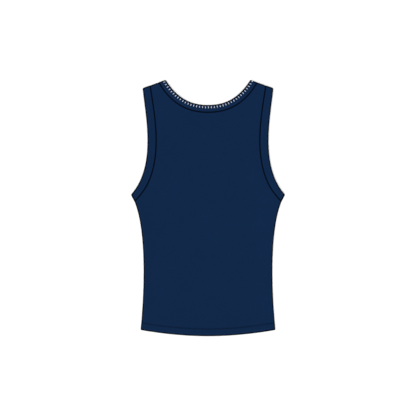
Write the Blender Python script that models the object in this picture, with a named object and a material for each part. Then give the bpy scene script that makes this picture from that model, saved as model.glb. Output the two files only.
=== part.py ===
"""A sleeveless tank top laid flat on its front, so that its back is up.

It is made as it is sewn: a back and a front panel of single jersey, one folded rib band round the
neck and one round each armhole. The side and shoulder seams lie on the folds of the flat garment,
where each panel makes a quarter turn and each band a half turn.

Units are metres. +X is to the right of the picture, +Y goes from hem to neck, +Z is up.
The origin is under the middle of the garment, on the surface that it lies on.
"""

import math
from collections import namedtuple

import bpy
import mathutils
import numpy as np

MM = 0.001

# Driving sizes of the flat garment. Heights are measured from the middle of the hem.
LENGTH = 614.0 * MM
NECK_HALF_WIDTH = 101.4 * MM
BACK_NECK_DROP = 60.0 * MM
FRONT_NECK_DROP = 130.0 * MM
SHOULDER_HALF_WIDTH = 156.6 * MM
SHOULDER_DROP = 19.9 * MM
CHEST_HALF_WIDTH = 184.6 * MM
UNDERARM_HEIGHT = 339.0 * MM
HEM_HALF_WIDTH = 161.7 * MM
HEM_CORNER_HEIGHT = 14.9 * MM

# Handles of the outline's curves, as lengths, or as steps (across, along) from their ends.
BACK_NECK_CENTRE_HANDLE = 41.8 * MM
BACK_NECK_SHOULDER_HANDLE = np.array([-27.5, -44.2]) * MM
FRONT_NECK_CENTRE_HANDLE = 66.0 * MM
FRONT_NECK_SHOULDER_HANDLE = 72.0 * MM
BACK_ARMHOLE_SHOULDER_HANDLE = np.array([-6.0, -64.9]) * MM
BACK_ARMHOLE_UNDERARM_HANDLE = np.array([-62.2, 69.8]) * MM
FRONT_ARMHOLE_SHOULDER_HANDLE = 60.0 * MM
FRONT_ARMHOLE_UNDERARM_HANDLE = 70.0 * MM
SIDE_UNDERARM_HANDLE = np.array([-42.3, -67.7]) * MM
SIDE_HEM_HANDLE = np.array([-7.2, 68.1]) * MM
HEM_CENTRE_HANDLE = 54.0 * MM
HEM_CORNER_HANDLE = np.array([-52.1, -9.3]) * MM

# Bands: the width from the free edge to the seam, at each end and how much wider at mid-length.
NECK_BAND_WIDTH = 17.6 * MM
ARMHOLE_BAND_SHOULDER_WIDTH = 19.2 * MM
ARMHOLE_BAND_UNDERARM_WIDTH = 18.8 * MM
ARMHOLE_BAND_SWELL = 1.9 * MM
END_LEAD_SHARE = 0.2

# Cloth.
SINGLE = 1.2 * MM
DOUBLE = 2.0 * SINGLE
SEAM_GAP = 0.3 * MM
SEAM_DITCH = 0.5 * MM
SEAM_DITCH_WIDTH = 1.6 * MM
HEM_TURN_UP = 19.5 * MM
HEM_STEP_END = 21.0 * MM

# A fold of the flat garment: its outer radius, which is half of the height over two bands.
LAYER_GAP = 0.4 * MM
FOLD_RADIUS = DOUBLE + LAYER_GAP / 2
UPPER_LEVEL = 2 * FOLD_RADIUS
RESTING_LEVEL = 2.8 * MM

# How finely the shapes are stepped.
CURVE_SAMPLES = 241
FOLD_SAMPLES = 60
OUTLINE_SAMPLES = 500
NECK_STEPS = 12
ARMHOLE_STEPS = 18
SIDE_STEPS = 12
HEM_STEPS = 9
POINT_SPACING = 22.0 * MM
ROW_SHARE = 0.87
CLEAR_OF_EDGE = 12.0 * MM
CORNER_SPREAD = 1.6
MARGIN_TURNS = np.radians([60.0, 30.0, 0.0])
HEM_EDGE_LEAST_TURN = math.radians(20.0)
BAND_EDGE_TURNS = np.radians([90.0, 45.0, 0.0, -45.0, -90.0])
SHARP_ANGLE = math.radians(40.0)
MIRROR_MERGE = 0.05 * MM

# For the triangles of a panel's flat part: those inside its outline are kept, equal points merged.
INSIDE_ONLY = 1
SAME_POINT = 0.0001 * MM

NAVY = (0.0061, 0.0222, 0.0685, 1.0)
NAVY_RIB = (0.0056, 0.0205, 0.0635, 1.0)
CLOTH_ROUGHNESS = 0.9

# A straight fold: a point on it and the unit way in from it.
Fold = namedtuple("Fold", "point inward")
# The curves of one layer's right half, each band from its free edge to its seam.
Half = namedtuple("Half", "neck_edge neck_seam armhole_edge armhole_seam")
# A place on a panel's edge, with its way in round a fold, its way in from a seam or hem, or both.
Station = namedtuple("Station", "edge fold_inward sideways flat_step is_hem thickness")
# What holds the upper layer up by a path: how far it stays up, then comes down, and by what share.
Rise = namedtuple("Rise", "path held fall share")


def unit(vector):
    return vector / np.linalg.norm(vector)


def quarter_left(vectors):
    """Each plan vector turned a quarter turn to the left."""
    return np.stack([-vectors[..., 1], vectors[..., 0]], axis=-1)


def at(across, height):
    """The plan point at a distance from the middle line and a height over the middle of the hem."""
    return np.array([across, height - LENGTH / 2])


def smoothstep(share):
    share = np.clip(share, 0.0, 1.0)
    return share * share * (3 - 2 * share)


def curve(start, start_handle, end_handle, end):
    """Points along the cubic curve between two ends, with its handles as steps from them."""
    t = np.linspace(0, 1, CURVE_SAMPLES)[:, None]
    inner = 3 * (1 - t) ** 2 * t * (start + start_handle) + 3 * (1 - t) * t**2 * (end + end_handle)
    return (1 - t) ** 3 * start + inner + t**3 * end


def mirrored_across(direction, fold_direction):
    """The way a curve goes on past a fold, seen on the layer below."""
    normal = quarter_left(unit(fold_direction))
    return -direction + 2 * (direction @ normal) * normal


def run_lengths(path):
    steps = np.linalg.norm(np.diff(path, axis=0), axis=1)
    return np.concatenate([[0.0], np.cumsum(steps)])


def read_along(path, values, distances):
    """Values that go with a path's points, read at these distances along it."""
    runs = run_lengths(path)
    return np.stack([np.interp(distances, runs, values[:, axis]) for axis in (0, 1)], axis=-1)


def along(path, distances):
    """Points at these distances along a path."""
    return read_along(path, path, distances)


def directions(path):
    """The unit direction of a path at each of its points."""
    slopes = np.gradient(path, axis=0, edge_order=2)
    return slopes / np.linalg.norm(slopes, axis=1)[:, None]


def normals_along(path, distances):
    """Unit vectors to the left of a path at these distances along it."""
    normals = quarter_left(read_along(path, directions(path), distances))
    return normals / np.linalg.norm(normals, axis=1)[:, None]


def reach(path, fold, inset):
    """How far along a path, from its start on a fold, it lies `inset` inside that fold."""
    near = path[:FOLD_SAMPLES]
    depths = (near - fold.point) @ fold.inward
    return np.interp(inset, depths, run_lengths(near))


def nearest(points, path):
    """The distance from each plan point to the nearest point of a path."""
    return np.sqrt(((points[:, None] - path) ** 2).sum(-1)).min(-1)


def seam_inside(edge, widths, start_lead, end_lead):
    """The seam line of a band: its free edge moved in, led along a fold at each end that has one."""
    inward = quarter_left(directions(edge))
    share = np.linspace(0, 1, len(edge))
    ends = ((start_lead, 1 - share / END_LEAD_SHARE), (end_lead, 1 - (1 - share) / END_LEAD_SHARE))
    for lead, nearness in ends:
        if lead is not None:
            pull = smoothstep(nearness)[:, None]
            inward = inward * (1 - pull) + lead * pull
            inward /= np.linalg.norm(inward, axis=1)[:, None]
    return edge + inward * widths[:, None]


# The outline's corners.
NECK_POINT = at(NECK_HALF_WIDTH, LENGTH)
SHOULDER_POINT = at(SHOULDER_HALF_WIDTH, LENGTH - SHOULDER_DROP)
UNDERARM_POINT = at(CHEST_HALF_WIDTH, UNDERARM_HEIGHT)
HEM_CORNER = at(HEM_HALF_WIDTH, HEM_CORNER_HEIGHT)
HEM_MIDDLE = at(0.0, 0.0)

# The folds: the shoulder line, and the side line where the armhole band crosses it.
SHOULDER_WAY = unit(SHOULDER_POINT - NECK_POINT)
SHOULDER_FOLD = Fold(NECK_POINT, -quarter_left(SHOULDER_WAY))
SIDE = curve(UNDERARM_POINT, SIDE_UNDERARM_HANDLE, SIDE_HEM_HANDLE, HEM_CORNER)
SIDE_SEAM_POINT = along(SIDE, ARMHOLE_BAND_UNDERARM_WIDTH)
SIDE_WAY = unit(SIDE_SEAM_POINT - UNDERARM_POINT)
UNDERARM_FOLD = Fold(UNDERARM_POINT, -quarter_left(SIDE_WAY))

HEM = curve(HEM_MIDDLE, np.array([HEM_CENTRE_HANDLE, 0.0]), HEM_CORNER_HANDLE, HEM_CORNER)


def neck_edge(drop, centre_handle, shoulder_handle):
    """The neck's free edge on one panel, from the middle to the shoulder."""
    middle = at(0.0, LENGTH - drop)
    return curve(middle, np.array([centre_handle, 0.0]), shoulder_handle, NECK_POINT)


def neck_seam(edge):
    """The neck band's seam. The band lies on the left of the way back from shoulder to middle."""
    widths = np.full(CURVE_SAMPLES, NECK_BAND_WIDTH)
    return seam_inside(edge[::-1], widths, SHOULDER_WAY, None)[::-1]


def armhole_seam(edge):
    """The armhole band's seam. The band lies on the left of the way from underarm to shoulder."""
    share = np.linspace(0, 1, CURVE_SAMPLES)
    widths = ARMHOLE_BAND_UNDERARM_WIDTH * (1 - share) + ARMHOLE_BAND_SHOULDER_WIDTH * share
    widths += ARMHOLE_BAND_SWELL * np.sin(math.pi * share)
    return seam_inside(edge[::-1], widths, SIDE_WAY, -SHOULDER_WAY)[::-1]


def half_outline(neck, armhole):
    return Half(neck, neck_seam(neck), armhole, armhole_seam(armhole))


BACK = half_outline(
    neck_edge(BACK_NECK_DROP, BACK_NECK_CENTRE_HANDLE, BACK_NECK_SHOULDER_HANDLE),
    curve(SHOULDER_POINT, BACK_ARMHOLE_SHOULDER_HANDLE, BACK_ARMHOLE_UNDERARM_HANDLE, UNDERARM_POINT),
)

# The front's curves leave each fold as the back's reach it, so that the bands run on smoothly.
FRONT_NECK_WAY = mirrored_across(unit(BACK_NECK_SHOULDER_HANDLE), SHOULDER_WAY)
FRONT_SHOULDER_WAY = mirrored_across(unit(BACK_ARMHOLE_SHOULDER_HANDLE), SHOULDER_WAY)
FRONT_UNDERARM_WAY = mirrored_across(unit(BACK_ARMHOLE_UNDERARM_HANDLE), SIDE_WAY)
FRONT = half_outline(
    neck_edge(FRONT_NECK_DROP, FRONT_NECK_CENTRE_HANDLE, FRONT_NECK_WAY * FRONT_NECK_SHOULDER_HANDLE),
    curve(
        SHOULDER_POINT,
        FRONT_SHOULDER_WAY * FRONT_ARMHOLE_SHOULDER_HANDLE,
        FRONT_UNDERARM_WAY * FRONT_ARMHOLE_UNDERARM_HANDLE,
        UNDERARM_POINT,
    ),
)

# The upper layer is up over the folds, the bands and the hem, and lower where it lies on one layer.
SHOULDER_LINE = np.linspace(NECK_POINT, SHOULDER_POINT, CURVE_SAMPLES)
FRONT_NECK_BAND_LINE = (FRONT.neck_edge + FRONT.neck_seam) / 2
RISES = (
    Rise(path=SHOULDER_LINE, held=46 * MM, fall=44 * MM, share=1.0),
    Rise(path=SIDE, held=4 * MM, fall=40 * MM, share=1.0),
    Rise(path=BACK.armhole_edge, held=24 * MM, fall=45 * MM, share=1.0),
    Rise(path=HEM, held=22 * MM, fall=40 * MM, share=1.0),
    Rise(path=FRONT_NECK_BAND_LINE, held=13 * MM, fall=26 * MM, share=0.6),
)


def upper_face_height(points):
    """Height of the upper layer's outer face over plan points of the right half."""
    lowered = np.ones(len(points))
    for rise in RISES:
        away = nearest(points, rise.path)
        lowered *= 1 - rise.share * (1 - smoothstep((away - rise.held) / rise.fall))
    return UPPER_LEVEL - (UPPER_LEVEL - RESTING_LEVEL) * lowered


def raised(points, upper):
    """Plan points with a depth under the outer face, (x, y, depth), as points in space."""
    placed = points.copy()
    if upper:
        placed[..., 2] = upper_face_height(points[..., :2]) - points[..., 2]
    return placed


def drift(corner, flat_end, fold):
    """How far a path moves sideways on its way round a fold, from its corner to its flat end."""
    return flat_end - corner - fold.inward * FOLD_RADIUS


def round_fold(inward, sideways, turn, depth):
    """The step from a corner on a fold to where a path is after a turn, at a depth in the cloth."""
    inset = FOLD_RADIUS - (FOLD_RADIUS - depth) * math.cos(turn)
    return inward * inset + sideways * turn / (math.pi / 2)


def material(name, colour):
    made = bpy.data.materials.new(name)
    made.use_nodes = True
    shader = made.node_tree.nodes["Principled BSDF"]
    shader.inputs["Base Color"].default_value = colour
    shader.inputs["Roughness"].default_value = CLOTH_ROUGHNESS
    shader.inputs["Metallic"].default_value = 0.0
    return made


def add_object(name, vertices, faces, colour, mirror):
    mesh = bpy.data.meshes.new(name)
    mesh.from_pydata(vertices.tolist(), [], faces)
    mesh.validate()
    mesh.shade_smooth()
    mesh.set_sharp_from_angle(angle=SHARP_ANGLE)
    mesh.materials.append(material(name, colour))
    made = bpy.data.objects.new(name, mesh)
    bpy.context.scene.collection.objects.link(made)
    if mirror:
        halves = made.modifiers.new("other half", "MIRROR")
        halves.merge_threshold = MIRROR_MERGE
    return made


# ---------------------------------------------------------------- panels


def hem_line(depth):
    """Points level with the hem, from the middle to the side, and the way in from the hem there."""
    distances = np.linspace(0, run_lengths(HEM)[-1], HEM_STEPS + 1)
    normals = normals_along(HEM, distances)
    normals[0] = (0.0, 1.0)
    return along(HEM, distances) + normals * depth, normals


def corner_station(path, fold, fold_way, gap, is_hem, thickness):
    """The corner of a panel where a seam or the hem, as a path from there, comes off a fold."""
    flat_end = along(path, reach(path, fold, FOLD_RADIUS))
    return Station(
        edge=path[0] + fold_way * gap,
        fold_inward=fold.inward,
        sideways=drift(path[0], flat_end, fold),
        flat_step=fold_way * CORNER_SPREAD,
        is_hem=is_hem,
        thickness=thickness,
    )


def seam_stations(path, start, end, steps):
    """Stations beside a band's seam between two distances, with the panel on the left of the path."""
    distances = np.linspace(start, end, steps + 1)
    normals = normals_along(path, distances)
    return [
        Station(edge + normal * SEAM_GAP, None, None, normal, False, SINGLE)
        for edge, normal in zip(along(path, distances), normals)
    ]


def hem_part():
    """Stations along the hem and at its corner."""
    edges, normals = hem_line(0.0)
    hem = [
        Station(edge, None, None, normal, True, DOUBLE) for edge, normal in zip(edges[:-1], normals)
    ]
    side_way = unit(SIDE[-2] - SIDE[-1])
    side_fold = Fold(HEM_CORNER, quarter_left(side_way))
    return hem + [corner_station(HEM[::-1], side_fold, side_way, 0.0, True, DOUBLE)]


def side_part():
    """Stations up the side fold, from above the hem's corner to below the armhole seam."""
    path = SIDE[::-1]
    end = run_lengths(path)[-1] - ARMHOLE_BAND_UNDERARM_WIDTH
    above_hem = np.linspace(HEM_STEP_END, end, SIDE_STEPS + 1)[1:-1]
    distances = np.array([HEM_TURN_UP, HEM_STEP_END, *above_hem])
    normals = normals_along(path, distances)
    return [
        Station(edge, normal, 0.0, None, False, DOUBLE if distance <= HEM_TURN_UP else SINGLE)
        for edge, normal, distance in zip(along(path, distances), normals, distances)
    ]


def armhole_part(half):
    """Stations round the armhole seam, with a corner on the side fold and one on the shoulder fold."""
    path = half.armhole_seam[::-1]
    start = reach(path, UNDERARM_FOLD, FOLD_RADIUS)
    end = run_lengths(path)[-1] - reach(path[::-1], SHOULDER_FOLD, FOLD_RADIUS)
    seam = seam_stations(path, start, end, ARMHOLE_STEPS)
    first = corner_station(path, UNDERARM_FOLD, SIDE_WAY, SEAM_GAP, False, SINGLE)
    last = corner_station(path[::-1], SHOULDER_FOLD, -SHOULDER_WAY, SEAM_GAP, False, SINGLE)
    return [first, *seam, last]


def neck_part(half, outer_corner):
    """Stations along the shoulder fold and round the neck seam to the middle."""
    path = half.neck_seam[::-1]
    start = reach(path, SHOULDER_FOLD, FOLD_RADIUS)
    seam = seam_stations(path, start, run_lengths(path)[-1], NECK_STEPS)
    seam[-1] = seam[-1]._replace(edge=path[-1] - (0.0, SEAM_GAP), flat_step=np.array([0.0, -1.0]))
    corner = corner_station(path, SHOULDER_FOLD, SHOULDER_WAY, SEAM_GAP, False, SINGLE)
    halfway = (corner.edge + outer_corner) / 2
    middle = Station(halfway, SHOULDER_FOLD.inward, 0.0, None, False, SINGLE)
    return [middle, corner, *seam]


def margin_point(station, turn, inner):
    """(x, y, depth) of a face by a panel's edge, which it reaches as the turn comes down to 0."""
    point = station.edge
    depth = inner * station.thickness
    if station.fold_inward is not None:
        point = point + round_fold(station.fold_inward, station.sideways, turn, depth)
        sunk = FOLD_RADIUS - (FOLD_RADIUS - depth) * math.sin(turn)
        depth = min(sunk, FOLD_RADIUS - SEAM_GAP / 2)
    if station.flat_step is not None:
        flat_radius = SINGLE if station.is_hem else FOLD_RADIUS
        point = point + station.flat_step * flat_radius * (1 - math.cos(turn))
    return np.append(point, depth)


def margin_closing(station, turn):
    """Shares of the thickness by which the outer and the inner face close in at an edge."""
    if station.is_hem:
        closing = (1 - math.sin(max(turn, HEM_EDGE_LEAST_TURN))) / 2
        return closing, closing
    if station.flat_step is not None:
        return SEAM_DITCH * (1 - math.sin(turn)) / station.thickness, 0.0
    return 0.0, 0.0


def margin_rings(stations):
    """The outer and the inner face as rings of (x, y, depth), from the flat part to the edge."""
    outer_rings = []
    inner_rings = []
    for turn in (math.pi / 2, *MARGIN_TURNS):
        outer = np.array([margin_point(station, turn, 0.0) for station in stations])
        inner = np.array([margin_point(station, turn, 1.0) for station in stations])
        closing = np.array([margin_closing(station, turn) for station in stations])
        outer_rings.append(outer + (inner - outer) * closing[:, :1])
        inner_rings.append(inner + (outer - inner) * closing[:, 1:])
    return outer_rings, inner_rings


def staggered_points(kept_off):
    """Points in staggered rows over the right half, clear of these paths."""
    heights = np.arange(HEM_MIDDLE[1] + HEM_STEP_END, NECK_POINT[1], POINT_SPACING * ROW_SHARE)
    rows = []
    for row, height in enumerate(heights):
        across = np.arange(POINT_SPACING / (1 + row % 2), CHEST_HALF_WIDTH, POINT_SPACING)
        rows.append(np.stack([across, np.full(len(across), height)], axis=-1))
    points = np.concatenate(rows)
    return points[nearest(points, kept_off) > CLEAR_OF_EDGE]


def flat_part(ring):
    """The flat part of a panel's right half inside a ring: its plan points, and its triangles."""
    step_end = HEM_MIDDLE[1] + HEM_STEP_END
    steps = round((ring[-1, 1] - step_end) / POINT_SPACING)
    middle_heights = [*np.linspace(ring[-1, 1], step_end, steps + 1)[1:], HEM_MIDDLE[1] + HEM_TURN_UP]
    loop = np.concatenate([ring, [(0.0, height) for height in middle_heights]])
    closed = np.concatenate([loop, loop[:1]])
    outline = along(closed, np.linspace(0, run_lengths(closed)[-1], OUTLINE_SAMPLES))
    turn_up_line = hem_line(HEM_TURN_UP)[0][:-1]
    step_end_line = hem_line(HEM_STEP_END)[0][:-1]
    spread = staggered_points(np.concatenate([outline, turn_up_line, step_end_line]))
    points = np.concatenate([loop, turn_up_line, step_end_line, spread])

    edges = [(index, (index + 1) % len(loop)) for index in range(len(loop))]
    first_side_station = HEM_STEPS + 1
    for line in range(2):
        start = len(loop) + line * HEM_STEPS
        edges += [(index, index + 1) for index in range(start, start + HEM_STEPS - 1)]
        edges.append((start + HEM_STEPS - 1, first_side_station + line))
    made = mathutils.geometry.delaunay_2d_cdt(
        [tuple(point) for point in points], edges, [], INSIDE_ONLY, SAME_POINT
    )
    sources = [source[0] for source in made[3]]
    triangles = np.array([[sources[corner] for corner in face] for face in made[2]])
    first, second, third = (points[triangles[:, corner]] for corner in range(3))
    clockwise = np.cross(second - first, third - first) < 0
    triangles[clockwise] = triangles[clockwise][:, ::-1]
    used, triangles = np.unique(triangles, return_inverse=True)
    return points[used], triangles.reshape(-1, 3)


def strip(first_ring, second_ring, count):
    """Faces between two rings of a face, given where each starts, with the second one outside."""
    return [
        (first_ring + index, second_ring + index, second_ring + index + 1, first_ring + index + 1)
        for index in range(count - 1)
    ]


def panel(name, half, upper):
    """One panel: an outer and an inner face, closed round the hem, side, armhole and neck."""
    armhole = armhole_part(half)
    stations = hem_part() + side_part() + armhole + neck_part(half, armhole[-1].edge)
    count = len(stations)
    outer_rings, inner_rings = margin_rings(stations)
    points, triangles = flat_part(outer_rings[0][:, :2])
    in_hem = nearest(points, HEM) < (HEM_TURN_UP + HEM_STEP_END) / 2
    thickness = np.where(in_hem, DOUBLE, SINGLE)

    outer = np.concatenate([np.column_stack([points, np.zeros(len(points))]), *outer_rings[1:]])
    inner = np.concatenate([np.column_stack([points, thickness]), *inner_rings[1:]])
    starts = [0] + [len(points) + ring * count for ring in range(len(MARGIN_TURNS))]
    face = [tuple(triangle) for triangle in triangles.tolist()]
    for first_ring, second_ring in zip(starts, starts[1:]):
        face += strip(first_ring, second_ring, count)
    below = len(outer)
    faces = face + [tuple(corner + below for corner in corners[::-1]) for corners in face]
    faces += strip(starts[-1], starts[-1] + below, count)
    if not upper:
        faces = [corners[::-1] for corners in faces]
    return add_object(name, raised(np.concatenate([outer, inner]), upper), faces, NAVY, True)


# ---------------------------------------------------------------- bands


def band_profile():
    """The band's closed cross-section: rows of (share of its width, step further in, depth)."""
    radius = DOUBLE / 2
    free_edge = [
        (0.0, radius - radius * math.cos(turn), radius - radius * math.sin(turn))
        for turn in BAND_EDGE_TURNS
    ]
    inner_side = [(0.5, 0.0, DOUBLE), (1.0, 0.0, DOUBLE)]
    outer_side = [(1.0, 0.0, SEAM_DITCH), (1.0, -SEAM_DITCH_WIDTH, 0.0), (0.5, 0.0, 0.0)]
    return free_edge + inner_side + outer_side


BAND_PROFILE = band_profile()


def across_band(edge, seam, share, step):
    """A plan point at a share of the way from a band's free edge to its seam, and a step further."""
    return edge + (seam - edge) * share + unit(seam - edge) * step


def flat_section(edge, seam, upper):
    section = np.array([
        np.append(across_band(edge, seam, share, step), depth) for share, step, depth in BAND_PROFILE
    ])
    return raised(section, upper)


def fold_section(pair, fold, turn, upper):
    """A section of a band after a turn round a fold. `pair` holds its edge and seam from there."""
    corners = [path[0] for path in pair]
    ways = [drift(path[0], along(path, reach(path, fold, FOLD_RADIUS)), fold) for path in pair]
    section = []
    for share, step, depth in BAND_PROFILE:
        edge, seam = (
            corner + round_fold(fold.inward, way, turn, depth) for corner, way in zip(corners, ways)
        )
        rise = (FOLD_RADIUS - depth) * math.sin(turn)
        height = FOLD_RADIUS + (rise if upper else -rise)
        section.append(np.append(across_band(edge, seam, share, step), height))
    return np.array(section)


def fold_sections(upper_pair, lower_pair, fold):
    """The sections of a band round a fold, from the upper layer to the lower one."""
    down = [fold_section(upper_pair, fold, turn, True) for turn in MARGIN_TURNS]
    under = [fold_section(lower_pair, fold, turn, False) for turn in MARGIN_TURNS[-2::-1]]
    return down + under


def flat_sections(edge, seam, starts, ends, steps, upper):
    """Evenly spread sections of a band between two folds, or between the middle and a fold."""
    edges = along(edge, np.linspace(starts[0], ends[0], steps + 1))
    seams = along(seam, np.linspace(starts[1], ends[1], steps + 1))
    return [flat_section(*pair, upper) for pair in zip(edges, seams)]


def skin(sections, closed):
    """Faces between sections of one shape, each joined to the next."""
    size = len(sections[0])
    faces = []
    for index in range(len(sections) - (0 if closed else 1)):
        start = index * size
        following = (index + 1) % len(sections) * size
        for point in range(size):
            nearby = (point + 1) % size
            faces.append((start + point, following + point, following + nearby, start + nearby))
    return faces


def neck_band():
    """The neck band: half of its ring, from the middle of the back to the middle of the front."""
    sections = []
    pairs = []
    for half, upper in ((BACK, True), (FRONT, False)):
        paths = (half.neck_edge, half.neck_seam)
        from_fold = tuple(path[::-1] for path in paths)
        ends = [
            run_lengths(path)[-1] - reach(path[::-1], SHOULDER_FOLD, FOLD_RADIUS) for path in paths
        ]
        pairs.append(from_fold)
        sections.append(flat_sections(*paths, (0.0, 0.0), ends, NECK_STEPS, upper))
    ring = sections[0] + fold_sections(*pairs, SHOULDER_FOLD) + sections[1][::-1]
    return add_object("neck_band", np.concatenate(ring), skin(ring, False), NAVY_RIB, True)


def armhole_band(name, side):
    """An armhole band: a whole ring over the shoulder fold and the underarm fold."""
    sections = []
    shoulder_pairs = []
    underarm_pairs = []
    for half, upper in ((BACK, True), (FRONT, False)):
        paths = (half.armhole_edge, half.armhole_seam)
        starts = [reach(path, SHOULDER_FOLD, FOLD_RADIUS) for path in paths]
        ends = [
            run_lengths(path)[-1] - reach(path[::-1], UNDERARM_FOLD, FOLD_RADIUS) for path in paths
        ]
        shoulder_pairs.append(paths)
        underarm_pairs.append(tuple(path[::-1] for path in paths))
        sections.append(flat_sections(*paths, starts, ends, ARMHOLE_STEPS, upper))
    over_shoulder = fold_sections(*shoulder_pairs, SHOULDER_FOLD)
    ring = sections[0] + fold_sections(*underarm_pairs, UNDERARM_FOLD)
    ring += sections[1][::-1] + over_shoulder[::-1]
    vertices = np.concatenate(ring) * (side, 1.0, 1.0)
    faces = skin(ring, True)
    if side < 0:
        faces = [face[:1] + face[:0:-1] for face in faces]
    return add_object(name, vertices, faces, NAVY_RIB, False)


def main():
    for old in list(bpy.data.objects):
        bpy.data.objects.remove(old, do_unlink=True)
    panel("back_panel", BACK, True)
    panel("front_panel", FRONT, False)
    neck_band()
    armhole_band("armhole_band_right", 1.0)
    armhole_band("armhole_band_left", -1.0)


main()
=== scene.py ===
"""The looks of a navy tank top that lies flat on its front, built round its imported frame.

Each solid of the frame is replaced by a finer shell of the same form: two jersey panels, and a
ribbed band round the neck and each armhole. The thread in the seams, the hem stitches and the
white bar stitches of the neck band are pieces of their own.

Units are metres. +X is to the right of the picture, +Y goes from hem to neck, +Z is up.
The upper layer is the back of the garment, and the lower one is its front.
"""

import math
from collections import namedtuple

import bpy
import mathutils
import numpy as np
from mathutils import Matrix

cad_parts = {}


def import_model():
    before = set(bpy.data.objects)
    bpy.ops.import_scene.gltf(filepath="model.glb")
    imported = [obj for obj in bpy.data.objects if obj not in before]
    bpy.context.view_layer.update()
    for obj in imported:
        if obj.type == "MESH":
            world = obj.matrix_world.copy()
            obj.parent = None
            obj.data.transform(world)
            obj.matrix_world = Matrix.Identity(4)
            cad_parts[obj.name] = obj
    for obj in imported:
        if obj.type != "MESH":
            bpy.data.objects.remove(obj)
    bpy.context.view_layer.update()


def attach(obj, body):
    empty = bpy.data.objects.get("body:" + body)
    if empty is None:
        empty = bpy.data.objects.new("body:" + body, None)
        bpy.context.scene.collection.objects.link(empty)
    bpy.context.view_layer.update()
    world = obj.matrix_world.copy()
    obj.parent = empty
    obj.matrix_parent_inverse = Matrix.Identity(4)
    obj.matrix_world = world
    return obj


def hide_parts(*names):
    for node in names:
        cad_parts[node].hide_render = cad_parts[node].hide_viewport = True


MM = 0.001
QUARTER = math.pi / 2

# Driving sizes of the flat garment, as in the part. Heights are measured from the hem's middle.
LENGTH = 614.0 * MM
NECK_HALF_WIDTH = 101.4 * MM
BACK_NECK_DROP = 60.0 * MM
FRONT_NECK_DROP = 130.0 * MM
SHOULDER_HALF_WIDTH = 156.6 * MM
SHOULDER_DROP = 19.9 * MM
CHEST_HALF_WIDTH = 184.6 * MM
UNDERARM_HEIGHT = 339.0 * MM
HEM_HALF_WIDTH = 161.7 * MM
HEM_CORNER_HEIGHT = 14.9 * MM

# Handles of the outline's curves, as lengths, or as steps (across, along) from their ends.
BACK_NECK_CENTRE_HANDLE = 41.8 * MM
BACK_NECK_SHOULDER_HANDLE = np.array([-27.5, -44.2]) * MM
FRONT_NECK_CENTRE_HANDLE = 66.0 * MM
FRONT_NECK_SHOULDER_HANDLE = 72.0 * MM
BACK_ARMHOLE_SHOULDER_HANDLE = np.array([-6.0, -64.9]) * MM
BACK_ARMHOLE_UNDERARM_HANDLE = np.array([-62.2, 69.8]) * MM
FRONT_ARMHOLE_SHOULDER_HANDLE = 60.0 * MM
FRONT_ARMHOLE_UNDERARM_HANDLE = 70.0 * MM
SIDE_UNDERARM_HANDLE = np.array([-42.3, -67.7]) * MM
SIDE_HEM_HANDLE = np.array([-7.2, 68.1]) * MM
HEM_CENTRE_HANDLE = 54.0 * MM
HEM_CORNER_HANDLE = np.array([-52.1, -9.3]) * MM

# Bands: the width from the free edge to the seam, at each end and how much wider at mid-length.
NECK_BAND_WIDTH = 17.6 * MM
BAND_AT_SHOULDER = 19.2 * MM
BAND_AT_UNDERARM = 18.8 * MM
BAND_SWELL = 1.9 * MM
END_LEAD_SHARE = 0.2

# Cloth.
SINGLE = 1.2 * MM
DOUBLE = 2.0 * SINGLE
SEAM_GAP = 0.3 * MM
SEAM_DITCH = 0.5 * MM
SEAM_DITCH_WIDTH = 1.6 * MM
HEM_TURN_UP = 19.5 * MM
HEM_STEP_END = 21.0 * MM

# A fold of the flat garment: its outer radius, which is half of the height over two bands.
LAYER_GAP = 0.4 * MM
FOLD_RADIUS = DOUBLE + LAYER_GAP / 2
UPPER_LEVEL = 2 * FOLD_RADIUS
RESTING_LEVEL = 2.8 * MM

# The side and shoulder seams, where the panels' edges roll in a little on the folds.
FOLD_SEAM_ROLL = 0.35 * MM
FOLD_SEAM_TURN = math.radians(14.0)

# Ribs of the bands, and how far their outer face is crowned.
RIB_PITCH = 1.75 * MM
RIB_RISE = 0.26 * MM
RIB_MEAN = 0.62
RIB_ROUNDNESS = 0.6
RIB_STEPS = 6
BAND_CROWN = 0.3 * MM

# The hem's row of stitches, and the faint edge of the turned-up cloth above it.
HEM_STITCH_HEIGHT = 17.4 * MM
HEM_STITCH_PITCH = 5.2 * MM
HEM_DITCH = 0.35 * MM
HEM_DITCH_REACH = 1.15 * MM
TURN_UP_STEP = 0.12 * MM

# Bar stitches across the neck band, placed by their distance along its free edge.
BAR_PITCH = 6.71 * MM
BAR_OFFSET = 0.96 * MM
BAR_START = 3.0 * MM
BAR_END = 8.6 * MM
BAR_STRANDS = 3
BAR_STRAND_PITCH = 0.47 * MM

# How finely the shapes are stepped.
CURVE_SAMPLES = 961
FOLD_SAMPLES = 240
OUTLINE_SAMPLES = 1400
NECK_STEPS = 56
SHOULDER_STEPS = 7
ARMHOLE_STEPS = 120
SIDE_STEPS = 120
HEM_STEPS = 96
OUTER_SPACING = 3.2 * MM
INNER_SPACING = 9.0 * MM
ROW_SHARE = 0.87
CORNER_SPREAD = 1.6
CORNER_CLEARANCE = 2.0 * FOLD_RADIUS
CORNER_BLEND = 12.0 * MM
MARGIN_TURNS = np.radians([80.0, 70.0, 60.0, 50.0, 40.0, 30.0, 20.0, 13.0, 6.0, 0.0])
HEM_EDGE_LEAST_TURN = math.radians(5.0)
HEM_ROWS = np.array([2.9, 4.0, 15.0, 16.1, 16.8, 17.4, 18.0, 18.7, 19.6, 20.8]) * MM
HEM_ROW_PITCH = HEM_STITCH_PITCH / 4
EDGE_ROWS = np.array([0.4, 0.9]) * MM
INSIDE_ONLY = 1
SAME_POINT = 0.0001 * MM

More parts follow.
